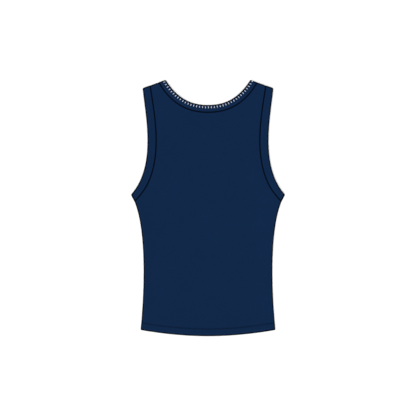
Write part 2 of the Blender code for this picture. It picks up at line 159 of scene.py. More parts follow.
# Stitches in the seams and the hem, and threads. An arch is how far a stitch's middle rises.
Sewing = namedtuple("Sewing", "pitch length arch radius")
SEAM_SEWING = Sewing(2.9 * MM, 3.15 * MM, 0.07 * MM, 0.36 * MM)
HEM_SEWING = Sewing(HEM_STITCH_PITCH, 2.8 * MM, 0.18 * MM, 0.42 * MM)
SEAM_THREAD_DEPTH = 0.34 * MM
SEAM_PRESSED_SINK = 0.13 * MM
FOLD_THREAD_INSET = 0.6 * MM
HEM_END_CLEARANCE = 2.4 * MM
BARS_EACH_WAY = 18
BAR_THREAD_RADIUS = 0.28 * MM
BAR_PROUD = 0.14 * MM
BAR_SUNK = 0.35 * MM
BAR_PRESSED_DEPTH = 0.36 * MM
ARCH_FULLNESS = 0.5
END_TAPER = 0.6
STITCH_STEPS = 7
BAR_STEPS = 9
STITCH_SIDES = 6

# How far the near-black painted shade of a seam or the outline reaches, how far it then takes to fade,
# and its share.
SEAM_HELD = 1.25 * MM
SEAM_FALL = 0.7 * MM
OUTLINE_HELD = 2.5 * MM
OUTLINE_FALL = 0.7 * MM
OUTLINE_SHADE = 0.97
SHADE_STRENGTH = 0.93

# Cloth and thread surfaces. Scales are features in a metre.
JERSEY_WALE = 1.05 * MM
JERSEY_COURSE = 0.8 * MM
JERSEY_RELIEF = 0.22 * MM
RIB_COURSE = 1.0 * MM
RIB_RELIEF = 0.2 * MM
CLOTH_ROUGHNESS = 0.92
CLOTH_SPECULAR = 0.05
CLOTH_TINT = (0.35, 0.5, 0.9, 1.0)
CLOTH_SHEEN = 0.06
CLOTH_SHEEN_TINT = (0.10, 0.22, 0.50, 1.0)
SHEEN_ROUGHNESS = 0.45
FUZZ_SCALE = 2600.0
FUZZ_DETAIL = 3.0
FUZZ_SHARE = 0.35
TONE_DETAIL = 2.0
PATCH_SCALE = 11.0
PATCH_SPREAD = 0.05
YARN_SCALE = 420.0
YARN_SPREAD = 0.08
# Share of painted shade in the grooves of the knit.
GROOVE_SHADE = 0.3
THREAD_ROUGHNESS = 0.6
THREAD_SPECULAR = 0.12
BAR_THREAD_SHEEN = 0.1
PLIES = 2.0
PLY_PITCH = 0.8 * MM
PLY_RELIEF = 0.08 * MM
# Share of painted shade between the thread's plies.
PLY_SHADE = 0.25

# Steps of a panel's hem at the side, of the bands' section, and of the points of a flat part.
SIDE_HEM_STEPS = 8
MIDDLE_REACH = 0.01 * MM
CLEAR_SHARE = 0.6
INNER_HEM_ROWS = np.array([19.5, 21.0]) * MM
HEM_LOOSE_SHARE = 0.25
HEM_STEP_FADE = 14.0 * MM
BAND_EDGE_TURNS = np.radians(np.linspace(90.0, -90.0, 9))
BAND_INNER_SHARES = (0.25, 0.5, 0.75, 1.0)
BAND_DITCH_STEPS = np.array([0.0, 0.2, 0.5, 1.0, 1.6, 2.0]) * MM
BAND_OUTER_SHARES = (0.8, 0.65, 0.5, 0.35, 0.25, 0.18, 0.14, 0.1)

# Stage: the picture's scale and frame, the lens, the floor and the light.
PICTURE_SIDE = 416
PIXEL = 2.398 * MM
LENS = 110.0
SENSOR = 36.0
FLOOR_SIDE = 30.0
CAMERA_REACH = 10 * FLOOR_SIDE
FLOOR_GREY = 0.92
FLOOR_GLOW = 0.18
WORLD_LIGHT = 1.0
KEY_LIGHT = 0.9
KEY_SPREAD = math.radians(35.0)
KEY_TILT = (math.radians(38.0), math.radians(-30.0), 0.0)

WHITE = (1.0, 1.0, 1.0, 1.0)
NAVY = (0.0057, 0.0237, 0.0753, 1.0)
NAVY_RIB = (0.0056, 0.0231, 0.0736, 1.0)
SEAM_BLACK = (0.0022, 0.0030, 0.0048, 1.0)
BAR_WHITE = (0.68, 0.73, 0.80, 1.0)

Fold = namedtuple("Fold", "point inward")
Half = namedtuple("Half", "neck_edge neck_seam armhole_edge armhole_seam")
NECK_PATHS = slice(0, 2)
ARMHOLE_PATHS = slice(2, 4)
# What shows by a line: how far from it that is held, then falls off, and its share.
Rise = namedtuple("Rise", "line held fall share")
Swell = namedtuple("Swell", "across height heading length width rise")
Ripple = namedtuple("Ripple", "pitch phase share")

# Soft swells of the upper layer where the cloth was smoothed by hand, in mm, headings in degrees.
SWELLS = (
    Swell(-96, 452, 78, 60, 17, 0.35),
    Swell(104, 431, 101, 72, 20, 0.30),
    Swell(-120, 296, 28, 64, 15, 0.50),
    Swell(128, 281, 148, 52, 13, 0.42),
    Swell(-38, 214, 96, 88, 30, 0.30),
    Swell(66, 166, 81, 70, 24, 0.36),
    Swell(-102, 96, 70, 58, 18, 0.40),
    Swell(22, 42, 92, 46, 21, 0.45),
    Swell(118, 58, 84, 40, 14, 0.38),
)

# The stitching draws the cloth together unevenly along each seam.
PUCKER_DEPTH = 0.11 * MM
PUCKER_REACH = 5.0 * MM
RIPPLES = (
    Ripple(9.3 * MM, 0.4, 0.45),
    Ripple(13.9 * MM, 2.1, 0.35),
    Ripple(23.0 * MM, 4.4, 0.20),
)


# ---- lines of the garment


def unit(vectors):
    return vectors / np.linalg.norm(vectors, axis=-1)[..., None]


def left_of(vectors):
    """Plan vectors turned a quarter turn to the left."""
    return np.stack([-vectors[..., 1], vectors[..., 0]], axis=-1)


def at(across, height):
    """The plan point this far from the middle line and over the hem."""
    return np.array([across, height - LENGTH / 2])


def smoothstep(share):
    share = np.clip(share, 0.0, 1.0)
    return share * share * (3 - 2 * share)


def curve(start, start_handle, end_handle, end):
    """A cubic curve between two ends, with its handles as steps from them."""
    t = np.linspace(0, 1, CURVE_SAMPLES)[:, None]
    inner = 3 * (1 - t) ** 2 * t * (start + start_handle) + 3 * (1 - t) * t**2 * (end + end_handle)
    return (1 - t) ** 3 * start + inner + t**3 * end


def mirrored_across(direction, fold_direction):
    """The way a curve goes on past a fold, seen on the layer below."""
    normal = left_of(unit(fold_direction))
    return -direction + 2 * (direction @ normal) * normal


def run_lengths(path):
    steps = np.linalg.norm(np.diff(path, axis=0), axis=1)
    return np.concatenate([[0.0], np.cumsum(steps)])


def read_along(path, values, distances):
    """Values of a path's points, read at these distances along it."""
    runs = run_lengths(path)
    return np.stack([np.interp(distances, runs, column) for column in values.T], axis=-1)


def along(path, distances):
    """Points at these distances along a path."""
    return read_along(path, path, distances)


def directions(path):
    """The unit direction of a path at each of its points."""
    return unit(np.gradient(path, axis=0, edge_order=2))


def normals_along(path, distances):
    """Unit vectors to the left of a plan path."""
    return unit(left_of(read_along(path, directions(path), distances)))


def reach(path, fold):
    """How far along a path from a fold its flat stretch starts."""
    near = path[:FOLD_SAMPLES]
    depths = (near - fold.point) @ fold.inward
    return np.interp(FOLD_RADIUS, depths, run_lengths(near))


def seam_inside(edge, widths, start_lead, end_lead):
    """The seam of a band: its free edge moved in, led along the folds at its ends."""
    inward = left_of(directions(edge))
    share = np.linspace(0, 1, len(edge))
    ends = ((start_lead, 1 - share / END_LEAD_SHARE), (end_lead, 1 - (1 - share) / END_LEAD_SHARE))
    for lead, closeness in ends:
        if lead is not None:
            pull = smoothstep(closeness)[:, None]
            inward = unit(inward * (1 - pull) + lead * pull)
    return edge + inward * widths[:, None]


NECK_POINT = at(NECK_HALF_WIDTH, LENGTH)
SHOULDER_POINT = at(SHOULDER_HALF_WIDTH, LENGTH - SHOULDER_DROP)
UNDERARM_POINT = at(CHEST_HALF_WIDTH, UNDERARM_HEIGHT)
HEM_CORNER = at(HEM_HALF_WIDTH, HEM_CORNER_HEIGHT)
HEM_MIDDLE = at(0.0, 0.0)

SHOULDER_WAY = unit(SHOULDER_POINT - NECK_POINT)
SHOULDER_FOLD = Fold(NECK_POINT, -left_of(SHOULDER_WAY))
SHOULDER_LINE = np.linspace(NECK_POINT, SHOULDER_POINT, CURVE_SAMPLES)
SIDE = curve(UNDERARM_POINT, SIDE_UNDERARM_HANDLE, SIDE_HEM_HANDLE, HEM_CORNER)
SIDE_WAY = unit(along(SIDE, BAND_AT_UNDERARM) - UNDERARM_POINT)
UNDERARM_FOLD = Fold(UNDERARM_POINT, -left_of(SIDE_WAY))
HEM = curve(HEM_MIDDLE, np.array([HEM_CENTRE_HANDLE, 0.0]), HEM_CORNER_HANDLE, HEM_CORNER)


def neck_edge(drop, centre_handle, shoulder_handle):
    """The neck's free edge from the middle to the shoulder."""
    middle = at(0.0, LENGTH - drop)
    return curve(middle, np.array([centre_handle, 0.0]), shoulder_handle, NECK_POINT)


def neck_seam(edge):
    """The neck band's seam. The band lies on the left of the way from shoulder to middle."""
    widths = np.full(CURVE_SAMPLES, NECK_BAND_WIDTH)
    return seam_inside(edge[::-1], widths, SHOULDER_WAY, None)[::-1]


def armhole_seam(edge):
    """The armhole band's seam. The band lies on the left of the way from underarm to shoulder."""
    share = np.linspace(0, 1, CURVE_SAMPLES)
    widths = BAND_AT_UNDERARM * (1 - share) + BAND_AT_SHOULDER * share
    widths += BAND_SWELL * np.sin(math.pi * share)
    return seam_inside(edge[::-1], widths, SIDE_WAY, -SHOULDER_WAY)[::-1]


def half_outline(neck, armhole):
    return Half(neck, neck_seam(neck), armhole, armhole_seam(armhole))


BACK = half_outline(
    neck_edge(BACK_NECK_DROP, BACK_NECK_CENTRE_HANDLE, BACK_NECK_SHOULDER_HANDLE),
    curve(SHOULDER_POINT, BACK_ARMHOLE_SHOULDER_HANDLE, BACK_ARMHOLE_UNDERARM_HANDLE, UNDERARM_POINT),
)
FRONT_NECK_WAY = mirrored_across(unit(BACK_NECK_SHOULDER_HANDLE), SHOULDER_WAY)
FRONT_SHOULDER_WAY = mirrored_across(unit(BACK_ARMHOLE_SHOULDER_HANDLE), SHOULDER_WAY)
FRONT_UNDERARM_WAY = mirrored_across(unit(BACK_ARMHOLE_UNDERARM_HANDLE), SIDE_WAY)
FRONT = half_outline(
    neck_edge(FRONT_NECK_DROP, FRONT_NECK_CENTRE_HANDLE, FRONT_NECK_WAY * FRONT_NECK_SHOULDER_HANDLE),
    curve(
        SHOULDER_POINT,
        FRONT_SHOULDER_WAY * FRONT_ARMHOLE_SHOULDER_HANDLE,
        FRONT_UNDERARM_WAY * FRONT_ARMHOLE_UNDERARM_HANDLE,
        UNDERARM_POINT,
    ),
)


class Line:
    """A line of the right half that points on both halves are measured from."""

    def __init__(self, path):
        self.runs = run_lengths(path)
        self.tree = mathutils.kdtree.KDTree(len(path))
        for index, point in enumerate(path):
            self.tree.insert((*point, 0.0), index)
        self.tree.balance()

    def measure(self, points):
        """How far each plan point is from the line, and how far along it that is."""
        hits = [self.tree.find((abs(across), along_y, 0.0)) for across, along_y in points]
        return np.array([hit[2] for hit in hits]), self.runs[[hit[1] for hit in hits]]

    def distance(self, points):
        return self.measure(points)[0]


HEM_LINE = Line(HEM)
SIDE_LINE = Line(SIDE)
SHOULDER_FOLD_LINE = Line(SHOULDER_LINE)
BACK_LINES = Half(*(Line(path) for path in BACK))
FRONT_LINES = Half(*(Line(path) for path in FRONT))


# ---- form of the upper layer

RISES = (
    Rise(line=SHOULDER_FOLD_LINE, held=46 * MM, fall=44 * MM, share=1.0),
    Rise(line=SIDE_LINE, held=4 * MM, fall=40 * MM, share=1.0),
    Rise(line=BACK_LINES.armhole_edge, held=24 * MM, fall=45 * MM, share=1.0),
    Rise(line=HEM_LINE, held=22 * MM, fall=40 * MM, share=1.0),
    Rise(line=Line((FRONT.neck_edge + FRONT.neck_seam) / 2), held=13 * MM, fall=26 * MM, share=0.6),
)


def nearness(rise, points):
    """1 for plan points by a line, falling to 0 further out."""
    return 1 - smoothstep((rise.line.distance(points) - rise.held) / rise.fall)


def upper_face_height(points):
    """Height of the upper layer's outer face before its swells and puckers."""
    lowered = np.ones(len(points))
    for rise in RISES:
        lowered *= 1 - rise.share * nearness(rise, points)
    return UPPER_LEVEL - (UPPER_LEVEL - RESTING_LEVEL) * lowered


def swells(points):
    """How far the soft swells lift plan points."""
    lifted = np.zeros(len(points))
    for swell in SWELLS:
        heading = math.radians(swell.heading)
        way = np.array([math.cos(heading), math.sin(heading)])
        offset = points - at(swell.across * MM, swell.height * MM)
        lengthwise = (offset @ way) / (swell.length * MM)
        sideways = (offset @ left_of(way)) / (swell.width * MM)
        lifted += swell.rise * MM * np.exp(-(lengthwise**2) - sideways**2)
    return lifted


def puckers(points):
    """The uneven ripples beside the seams and the hem's stitches."""
    rippled = np.zeros(len(points))
    lines = ((BACK_LINES.neck_seam, 0.0), (BACK_LINES.armhole_seam, 0.0), (HEM_LINE, HEM_STITCH_HEIGHT))
    for line, offset in lines:
        away, run = line.measure(points)
        fade = np.exp(-np.abs(away - offset) / PUCKER_REACH)
        signed_run = run * np.sign(points[:, 0])
        for ripple in RIPPLES:
            wave = np.sin(2 * math.pi * signed_run / ripple.pitch + ripple.phase)
            rippled += PUCKER_DEPTH * ripple.share * fade * wave
    return rippled


def settled(points, lift):
    """Points with the swells and puckers, by how much each belongs to the upper layer."""
    placed = points.copy()
    share = np.broadcast_to(lift, points.shape[:-1])
    moved = share > 0
    plan = points[moved, :2]
    placed[moved, 2] += share[moved] * (swells(plan) + puckers(plan))
    return placed


# ---- meshes


def in_triangles(quads):
    """Four-cornered faces, or values of their corners, as triangles."""
    return np.concatenate([quads[:, [0, 1, 2]], quads[:, [0, 2, 3]]])


def grid(rows, columns, rows_close, columns_close):
    """A grid's faces, and the (row, column) of each of their corners."""
    row, column = np.meshgrid(
        np.arange(rows - 1 + rows_close), np.arange(columns - 1 + columns_close), indexing="ij"
    )
    corners = ((row, column), (row + 1, column), (row + 1, column + 1), (row, column + 1))
    places = np.array(corners).transpose(2, 3, 0, 1).reshape(-1, 4, 2)
    return places[..., 0] % rows * columns + places[..., 1] % columns, places


def linked(name, data):
    made = bpy.data.objects.new(name, data)
    bpy.context.scene.collection.objects.link(made)
    return made


def stand_in(made, node):
    """Hides a node, whose place the piece built for it takes."""
    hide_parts(node)
    return made


def between_rows(starts, count):
    """Triangles between rows of `count` points that start at these places of a mesh."""
    quads = grid(len(starts), count, False, False)[0]
    return in_triangles(np.array(starts)[quads // count] + quads % count)


def add_object(name, vertices, triangles, surface, uvs, shade=None):
    """A closed mesh that faces out, with `uvs` for corners and `shade` for vertices."""
    first, second, third = (vertices[triangles[:, corner]] for corner in range(3))
    if (first * np.cross(second, third)).sum() < 0:
        triangles = triangles[:, ::-1]
        uvs = uvs[:, ::-1]
    mesh = bpy.data.meshes.new(name)
    mesh.from_pydata(vertices.tolist(), [], triangles.tolist())
    mesh.uv_layers.new(name="cloth").uv.foreach_set("vector", uvs.astype(np.float32).ravel())
    if shade is not None:
        attribute = mesh.attributes.new("shade", "FLOAT", "POINT")
        attribute.data.foreach_set("value", shade.astype(np.float32))
    mesh.shade_smooth()
    mesh.materials.append(surface)
    made = linked(name, mesh)
    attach(made, "root")
    return made


def painted_shade(points, lines):
    """How much painted shade plan points get, in a seam ditch or along the outline, from 0 to 1."""
    outline = (lines.neck_edge, lines.armhole_edge, SIDE_LINE, SHOULDER_FOLD_LINE, HEM_LINE)
    dark = [Rise(line, OUTLINE_HELD, OUTLINE_FALL, OUTLINE_SHADE) for line in outline]
    dark += [Rise(line, SEAM_HELD, SEAM_FALL, 1.0) for line in (lines.neck_seam, lines.armhole_seam)]
    return np.max([rise.share * nearness(rise, points) for rise in dark], axis=0)


# ---- panels

STATION = np.dtype([
    ("edge", "f8", 2), ("inward", "f8", 2), ("sideways", "f8", 2), ("flat_step", "f8", 2),
    ("folded", "f8"), ("hem", "?"), ("thickness", "f8"),
])


def stations(edges, **columns):
    """Places on a panel's edge: `inward` goes round a fold, `flat_step` in from a seam or hem."""
    made = np.zeros(len(edges), STATION)
    made["edge"] = edges
    made["thickness"] = SINGLE
    for column, value in columns.items():
        made[column] = value
    return made


def drift(path, fold):
    """How far a path moves sideways on its way round the fold that it starts on."""
    return along(path, reach(path, fold)) - path[0] - fold.inward * FOLD_RADIUS


def corner_station(path, fold, fold_way, gap, **columns):
    """The corner of a panel where a path, a seam or the hem, comes off a fold."""
    return stations(
        [path[0] + fold_way * gap],
        inward=fold.inward,
        sideways=drift(path, fold),
        flat_step=fold_way * CORNER_SPREAD,
        folded=1.0,
        **columns,
    )


def seam_part(path, start, end, steps, leads):
    """Stations beside a band's seam, with the panel on the left of the path.

    By a fold, the step into the flat part swings round to its lead, which runs along that fold.
    """
    distances = np.linspace(start, end, steps + 1)
    normals = normals_along(path, distances)
    flat_steps = normals
    for lead, away in zip(leads, (distances - start, end - distances)):
        if lead is not None:
            pull = smoothstep(1 - away / CORNER_BLEND)[:, None]
            flat_steps = unit(flat_steps * (1 - pull) + lead * pull)
    return stations(along(path, distances) + normals * SEAM_GAP, flat_step=flat_steps)


def hem_line(height, distances):
    """Points at a height above the hem's edge, and the way up from the hem there."""
    normals = normals_along(HEM, distances)
    normals[distances == 0] = (0.0, 1.0)
    return along(HEM, distances) + normals * height, normals


HEM_STITCH_PATH = hem_line(HEM_STITCH_HEIGHT, np.linspace(0, run_lengths(HEM)[-1], CURVE_SAMPLES))[0]
HEM_STITCH_LINE = Line(HEM_STITCH_PATH)


def hem_part():
    """Stations along the hem and at its corner."""
    edges, normals = hem_line(0.0, np.linspace(0, run_lengths(HEM)[-1], HEM_STEPS + 1))
    side_way = unit(SIDE[-2] - SIDE[-1])
    side_fold = Fold(HEM_CORNER, left_of(side_way))
    hem = stations(edges[:-1], flat_step=normals[:-1], hem=True, thickness=DOUBLE)
    corner = corner_station(HEM[::-1], side_fold, side_way, 0.0, hem=True, thickness=DOUBLE)
    return [hem, corner]


def side_part():
    """Stations up the side fold."""
    path = SIDE[::-1]
    end = run_lengths(path)[-1] - BAND_AT_UNDERARM - CORNER_CLEARANCE
    up_the_hem = np.linspace(0, HEM_TURN_UP, SIDE_HEM_STEPS + 1)[1:]
    distances = np.concatenate([up_the_hem, np.linspace(HEM_STEP_END, end, SIDE_STEPS)])
    thickness = np.where(distances <= HEM_TURN_UP, DOUBLE, SINGLE)
    normals = normals_along(path, distances)
    return [stations(along(path, distances), inward=normals, folded=1.0, thickness=thickness)]


def armhole_part(half):
    """Stations round the armhole seam, with a corner on each fold."""
    path = half.armhole_seam[::-1]
    start = reach(path, UNDERARM_FOLD)
    end = run_lengths(path)[-1] - reach(path[::-1], SHOULDER_FOLD)
    first = corner_station(path, UNDERARM_FOLD, SIDE_WAY, SEAM_GAP)
    last = corner_station(path[::-1], SHOULDER_FOLD, -SHOULDER_WAY, SEAM_GAP)
    return [first, seam_part(path, start, end, ARMHOLE_STEPS, (SIDE_WAY, -SHOULDER_WAY)), last]


def neck_part(half, outer_corner):
    """Stations along the shoulder fold and round the neck seam to the middle."""
    path = half.neck_seam[::-1]
    start = reach(path, SHOULDER_FOLD)
    seam = seam_part(path, start, run_lengths(path)[-1], NECK_STEPS, (SHOULDER_WAY, None))
    seam["edge"][-1] = path[-1] - (0.0, SEAM_GAP)
    seam["flat_step"][-1] = (0.0, -1.0)
    corner = corner_station(path, SHOULDER_FOLD, SHOULDER_WAY, SEAM_GAP)
    clear = SHOULDER_WAY * CORNER_CLEARANCE
    between = np.linspace(outer_corner - clear, corner["edge"][0] + clear, SHOULDER_STEPS)
    return [stations(between, inward=SHOULDER_FOLD.inward, folded=1.0), corner, seam]


def margin(places, turn, inner):
    """(x, y, depth) of a face at stations, down to the edge as the turn comes to 0."""
    folded = places["folded"][:, None]
    depth = inner * places["thickness"]
    inset = FOLD_RADIUS - (FOLD_RADIUS - depth) * math.cos(turn)
    round_fold = places["inward"] * inset[:, None] + places["sideways"] * turn / QUARTER
    flat_radius = np.where(places["hem"], SINGLE, FOLD_RADIUS)
    step = places["flat_step"] * (flat_radius * (1 - math.cos(turn)))[:, None]
    sunk = FOLD_RADIUS - (FOLD_RADIUS - depth) * math.sin(turn)
    sunk = np.minimum(sunk, FOLD_RADIUS - SEAM_GAP / 2)
    depth = np.where(places["folded"] > 0, sunk, depth)
    return np.column_stack([places["edge"] + folded * round_fold + step, depth])


def closing(places, turn, inner):
    """Shares of the thickness by which a face closes in on the other one at the edge."""
    at_seam = np.linalg.norm(places["flat_step"], axis=1) > 0
    ditch = np.where(at_seam, SEAM_DITCH * (1 - math.sin(turn)) / SINGLE, 0.0)
    roll = FOLD_SEAM_ROLL / SINGLE * max(0.0, 1 - turn / FOLD_SEAM_TURN) ** 2
    share = np.maximum(ditch, roll * places["folded"]) * (1 - inner)
    round_hem = (1 - math.sin(max(turn, HEM_EDGE_LEAST_TURN))) / 2
    return np.where(places["hem"], round_hem, share)


def staggered_points(spacing, kept_off):
    """Points in staggered rows over the right half, clear of these lines."""
    rows = []
    for row, height in enumerate(np.arange(HEM_MIDDLE[1], NECK_POINT[1], spacing * ROW_SHARE)):
        across = np.arange(spacing / (1 + row % 2), CHEST_HALF_WIDTH, spacing)
        rows.append(np.stack([across, np.full(len(across), height)], axis=-1))
    points = np.concatenate(rows)
    return points[Line(kept_off).distance(points) > spacing * CLEAR_SHARE]


def flat_part(ring, spacing, rows):
    """The flat part of a right half inside a ring, with these rows of points in it."""
    top = ring[-1, 1]
    steps = round((top - HEM_MIDDLE[1] - rows[-1]) / spacing)
    middle = [*np.linspace(top, HEM_MIDDLE[1] + rows[-1], steps + 1)[1:], *(HEM_MIDDLE[1] + rows[-2::-1])]
    loop = np.concatenate([ring, [(0.0, height) for height in middle]])
    closed = np.concatenate([loop, loop[:1]])
    outline = along(closed, np.linspace(0, run_lengths(closed)[-1], OUTLINE_SAMPLES))
    outline_line = Line(outline)
    distances = np.arange(HEM_ROW_PITCH / 2, run_lengths(HEM)[-1], HEM_ROW_PITCH)
    in_rows = np.concatenate([hem_line(height, distances)[0] for height in rows])
    in_rows = in_rows[outline_line.distance(in_rows) > HEM_ROW_PITCH]
    by_edge = np.concatenate([ring + left_of(directions(ring)) * row for row in EDGE_ROWS])
    spread = staggered_points(spacing, np.concatenate([outline, in_rows]))
    points = np.concatenate([loop, by_edge, in_rows, spread])
    edges = [(index, (index + 1) % len(loop)) for index in range(len(loop))]
    made = mathutils.geometry.delaunay_2d_cdt(
        [tuple(point) for point in points], edges, [], INSIDE_ONLY, SAME_POINT
    )
    sources = np.array([source[0] for source in made[3]])
    triangles = sources[np.array(made[2])]
    first, second, third = (points[triangles[:, corner]] for corner in range(3))
    clockwise = np.cross(second - first, third - first) < 0
    triangles[clockwise] = triangles[clockwise][:, ::-1]
    used, triangles = np.unique(triangles, return_inverse=True)
    return points[used], triangles.reshape(-1, 3)


def hem_detail(points):
    """How near points lie to a hem stitch, from 0 to 1, and how deep the hem's relief is."""
    off_row, run = HEM_STITCH_LINE.measure(points)
    ditch = np.exp(-((off_row / HEM_DITCH_REACH) ** 2))
    in_stitch = smoothstep((1 - np.cos(2 * math.pi * run / HEM_STITCH_PITCH)) / 2)
    away = HEM_LINE.distance(points)
    down = smoothstep((away - HEM_TURN_UP) / HEM_DITCH_REACH)
    faded = 1 - smoothstep((away - HEM_STEP_END) / HEM_STEP_FADE)
    drawn_in = 1 - HEM_LOOSE_SHARE * (1 - in_stitch)
    return ditch * in_stitch, HEM_DITCH * ditch * drawn_in + TURN_UP_STEP * down * faded


def panel_face(places, inner, upper):
    """One face of a panel's right half: rows of (x, y, z, u, v, lift, shade), and its triangles."""
    rings = []
    for turn in (QUARTER, *MARGIN_TURNS):
        ring = margin(places, turn, inner)
        other = margin(places, turn, 1 - inner)
        ring += (other - ring) * closing(places, turn, inner)[:, None]
        unrolled = ring[:, :2] - places["inward"] * FOLD_RADIUS * (QUARTER - turn - math.cos(turn))
        lift = np.where(places["folded"] > 0, math.sin(turn), 1.0)
        rings.append(np.column_stack([ring, unrolled, lift]))
    spacing, rows = (INNER_SPACING, INNER_HEM_ROWS) if inner else (OUTER_SPACING, HEM_ROWS)
    flat, triangles = flat_part(rings[0][:, :2], spacing, rows)
    thickness = np.where(HEM_LINE.distance(flat) < (HEM_TURN_UP + HEM_STEP_END) / 2, DOUBLE, SINGLE)
    flat_rows = np.column_stack([flat, thickness * inner, flat, np.ones(len(flat))])
    face = np.concatenate([flat_rows, *rings[1:]])

    plan, depth, lift = face[:, :2], face[:, 2], face[:, 5]
    shade = np.zeros(len(face))
    if not inner:
        stitch_shade, relief = hem_detail(plan)
        depth = depth + relief * lift
        # Painted shade: near black by the seams and the outline, and round each hem stitch.
        shade = np.maximum(painted_shade(plan, BACK_LINES if upper else FRONT_LINES), stitch_shade)
    height = upper_face_height(plan) - depth if upper else depth
    face = np.column_stack([plan, height, face[:, 3:5], lift if upper else lift * 0, shade])

    starts = [0, *range(len(flat), len(face), len(places))]
    return face, np.concatenate([triangles, between_rows(starts, len(places))])


def both_halves(rows, triangles):
    """A right half and its mirror image, joined. `rows` start with x y z u."""
    on_middle = np.abs(rows[:, 0]) < MIDDLE_REACH
    rows = rows.copy()
    rows[on_middle, 0] = 0.0
    count = len(rows)
    mirrored = np.where(on_middle, np.arange(count), count + np.cumsum(~on_middle) - 1)
    flipped = rows[~on_middle].copy()
    flipped[:, [0, 3]] *= -1
    return np.concatenate([rows, flipped]), np.concatenate([triangles, mirrored[triangles][:, ::-1]])


def panel(node, half, upper, surface):
    """One panel: an outer and an inner face, closed all round."""
    armhole = armhole_part(half)
    parts = hem_part() + side_part() + armhole + neck_part(half, armhole[-1]["edge"][0])
    places = np.concatenate(parts)
    outer, outer_triangles = panel_face(places, 0, upper)
    inner, inner_triangles = panel_face(places, 1, upper)
    faces = np.concatenate([outer, inner])
    rims = between_rows([len(outer) - len(places), len(faces) - len(places)], len(places))
    triangles = np.concatenate([outer_triangles, inner_triangles[:, ::-1] + len(outer), rims])
    rows, triangles = both_halves(faces, triangles)
    vertices = settled(rows[:, :3], rows[:, 5])
    uvs = rows[:, 3:5][triangles]
    return stand_in(add_object(node + "_jersey", vertices, triangles, surface, uvs, rows[:, 6]), node)


# ---- bands

PLACE = np.dtype([
    ("edge", "f8", 2), ("seam", "f8", 2), ("inward", "f8", 2), ("edge_way", "f8", 2),
    ("seam_way", "f8", 2), ("turn", "f8"), ("side", "f8"),
])


class Ring:
    """A band's way round its opening, over the upper layer, the folds and the lower layer."""

    def __init__(self, places):
        self.places = places
        self.lift = np.where(places["side"] > 0, np.sin(places["turn"]), 0.0)
        self.pressed = (1 - places["side"] * np.sin(places["turn"])) / 2
        self.runs = self.closed_runs(0.5, 0.0, 0.0)

    def points(self, share, step, depth):
        """Points across the band at each place."""
        rows = self.places[:, None]
        shape = np.broadcast(rows["turn"], share, step, depth).shape
        share, step, depth = (np.broadcast_to(value, shape) for value in (share, step, depth))
        inset = FOLD_RADIUS - (FOLD_RADIUS - depth) * np.cos(rows["turn"])
        way = (rows["turn"] / QUARTER)[..., None]
        in_round = rows["inward"] * inset[..., None]
        edge = rows["edge"] + in_round + rows["edge_way"] * way
        seam = rows["seam"] + in_round + rows["seam_way"] * way
        plan = edge + (seam - edge) * share[..., None] + unit(seam - edge) * step[..., None]
        height = FOLD_RADIUS + rows["side"] * (FOLD_RADIUS - depth) * np.sin(rows["turn"])
        upper = self.lift == 1.0
        lowered = upper_face_height(plan[upper].reshape(-1, 2)) - UPPER_LEVEL
        height[upper] += lowered.reshape(-1, shape[1])
        return np.concatenate([plan, height[..., None]], axis=-1)

    def closed_runs(self, share, step, depth):
        """Distances round the ring, from its first place and back to it."""
        line = self.points(share, step, depth)[:, 0]
        return run_lengths(np.concatenate([line, line[:1]]))

    def crown(self, across):
        """How far the outer face stands up at each place."""
        return BAND_CROWN * 4 * across * (1 - across) * (1 - self.pressed[:, None])

    def tracks(self, share, step, depth):
        """Rows of (x, y, z, way out, lift) at each place, the first repeated."""
        points = self.points(share, step, depth)
        out = unit(self.points(share, step, depth - MM) - points)
        lift = np.broadcast_to(self.lift[:, None, None], (*points.shape[:2], 1))
        rows = np.concatenate([points, out, lift], axis=-1)
        return np.concatenate([rows, rows[:1]])


def flat_places(edge, seam, starts, ends, side):
    """Places of a band on one layer."""
    length = (ends[0] - starts[0] + ends[1] - starts[1]) / 2
    count = round(length / RIB_PITCH * RIB_STEPS) + 1
    made = np.zeros(count, PLACE)
    made["edge"] = along(edge, np.linspace(starts[0], ends[0], count))
    made["seam"] = along(seam, np.linspace(starts[1], ends[1], count))
    made["turn"] = QUARTER
    made["side"] = side
    return made


def fold_places(upper_paths, lower_paths, fold):
    """Places of a band round a fold, down from the upper layer. Paths start on the fold."""
    count = round(math.pi * FOLD_RADIUS / RIB_PITCH * RIB_STEPS)
    around = np.linspace(0, math.pi, count + 1)[1:-1]
    above = around <= QUARTER
    made = np.zeros(len(around), PLACE)
    made["turn"] = np.abs(QUARTER - around)
    made["side"] = np.where(above, 1.0, -1.0)
    made["inward"] = fold.inward
    for paths, chosen in ((upper_paths, above), (lower_paths, ~above)):
        for column, path in zip(("edge", "seam"), paths):
            made[column][chosen] = path[0]
            made[column + "_way"][chosen] = drift(path, fold)
    return made


def on_left(places):
    """The same places on the left half."""
    made = places.copy()
    for column in ("edge", "seam", "inward", "edge_way", "seam_way"):
        made[column][:, 0] *= -1
    return made


def backwards(paths):
    return tuple(path[::-1] for path in paths)


def over_a_fold(which, start_fold, fold):
    """Places of a band down the back, round a fold and back up the front."""
    flats = []
    for half, side in ((BACK, 1.0), (FRONT, -1.0)):
        paths = half[which]
        starts = [reach(path, start_fold) if start_fold else 0.0 for path in paths]
        ends = [run_lengths(path)[-1] - reach(path[::-1], fold) for path in paths]
        flats.append(flat_places(*paths, starts, ends, side))
    round_fold = fold_places(backwards(BACK[which]), backwards(FRONT[which]), fold)
    return np.concatenate([flats[0], round_fold, flats[1][::-1]])


def neck_ring():
    """Places round the neck, from the middle of the back over the right shoulder."""
    right = over_a_fold(NECK_PATHS, None, SHOULDER_FOLD)
    return Ring(np.concatenate([right, on_left(right[1:-1][::-1])]))


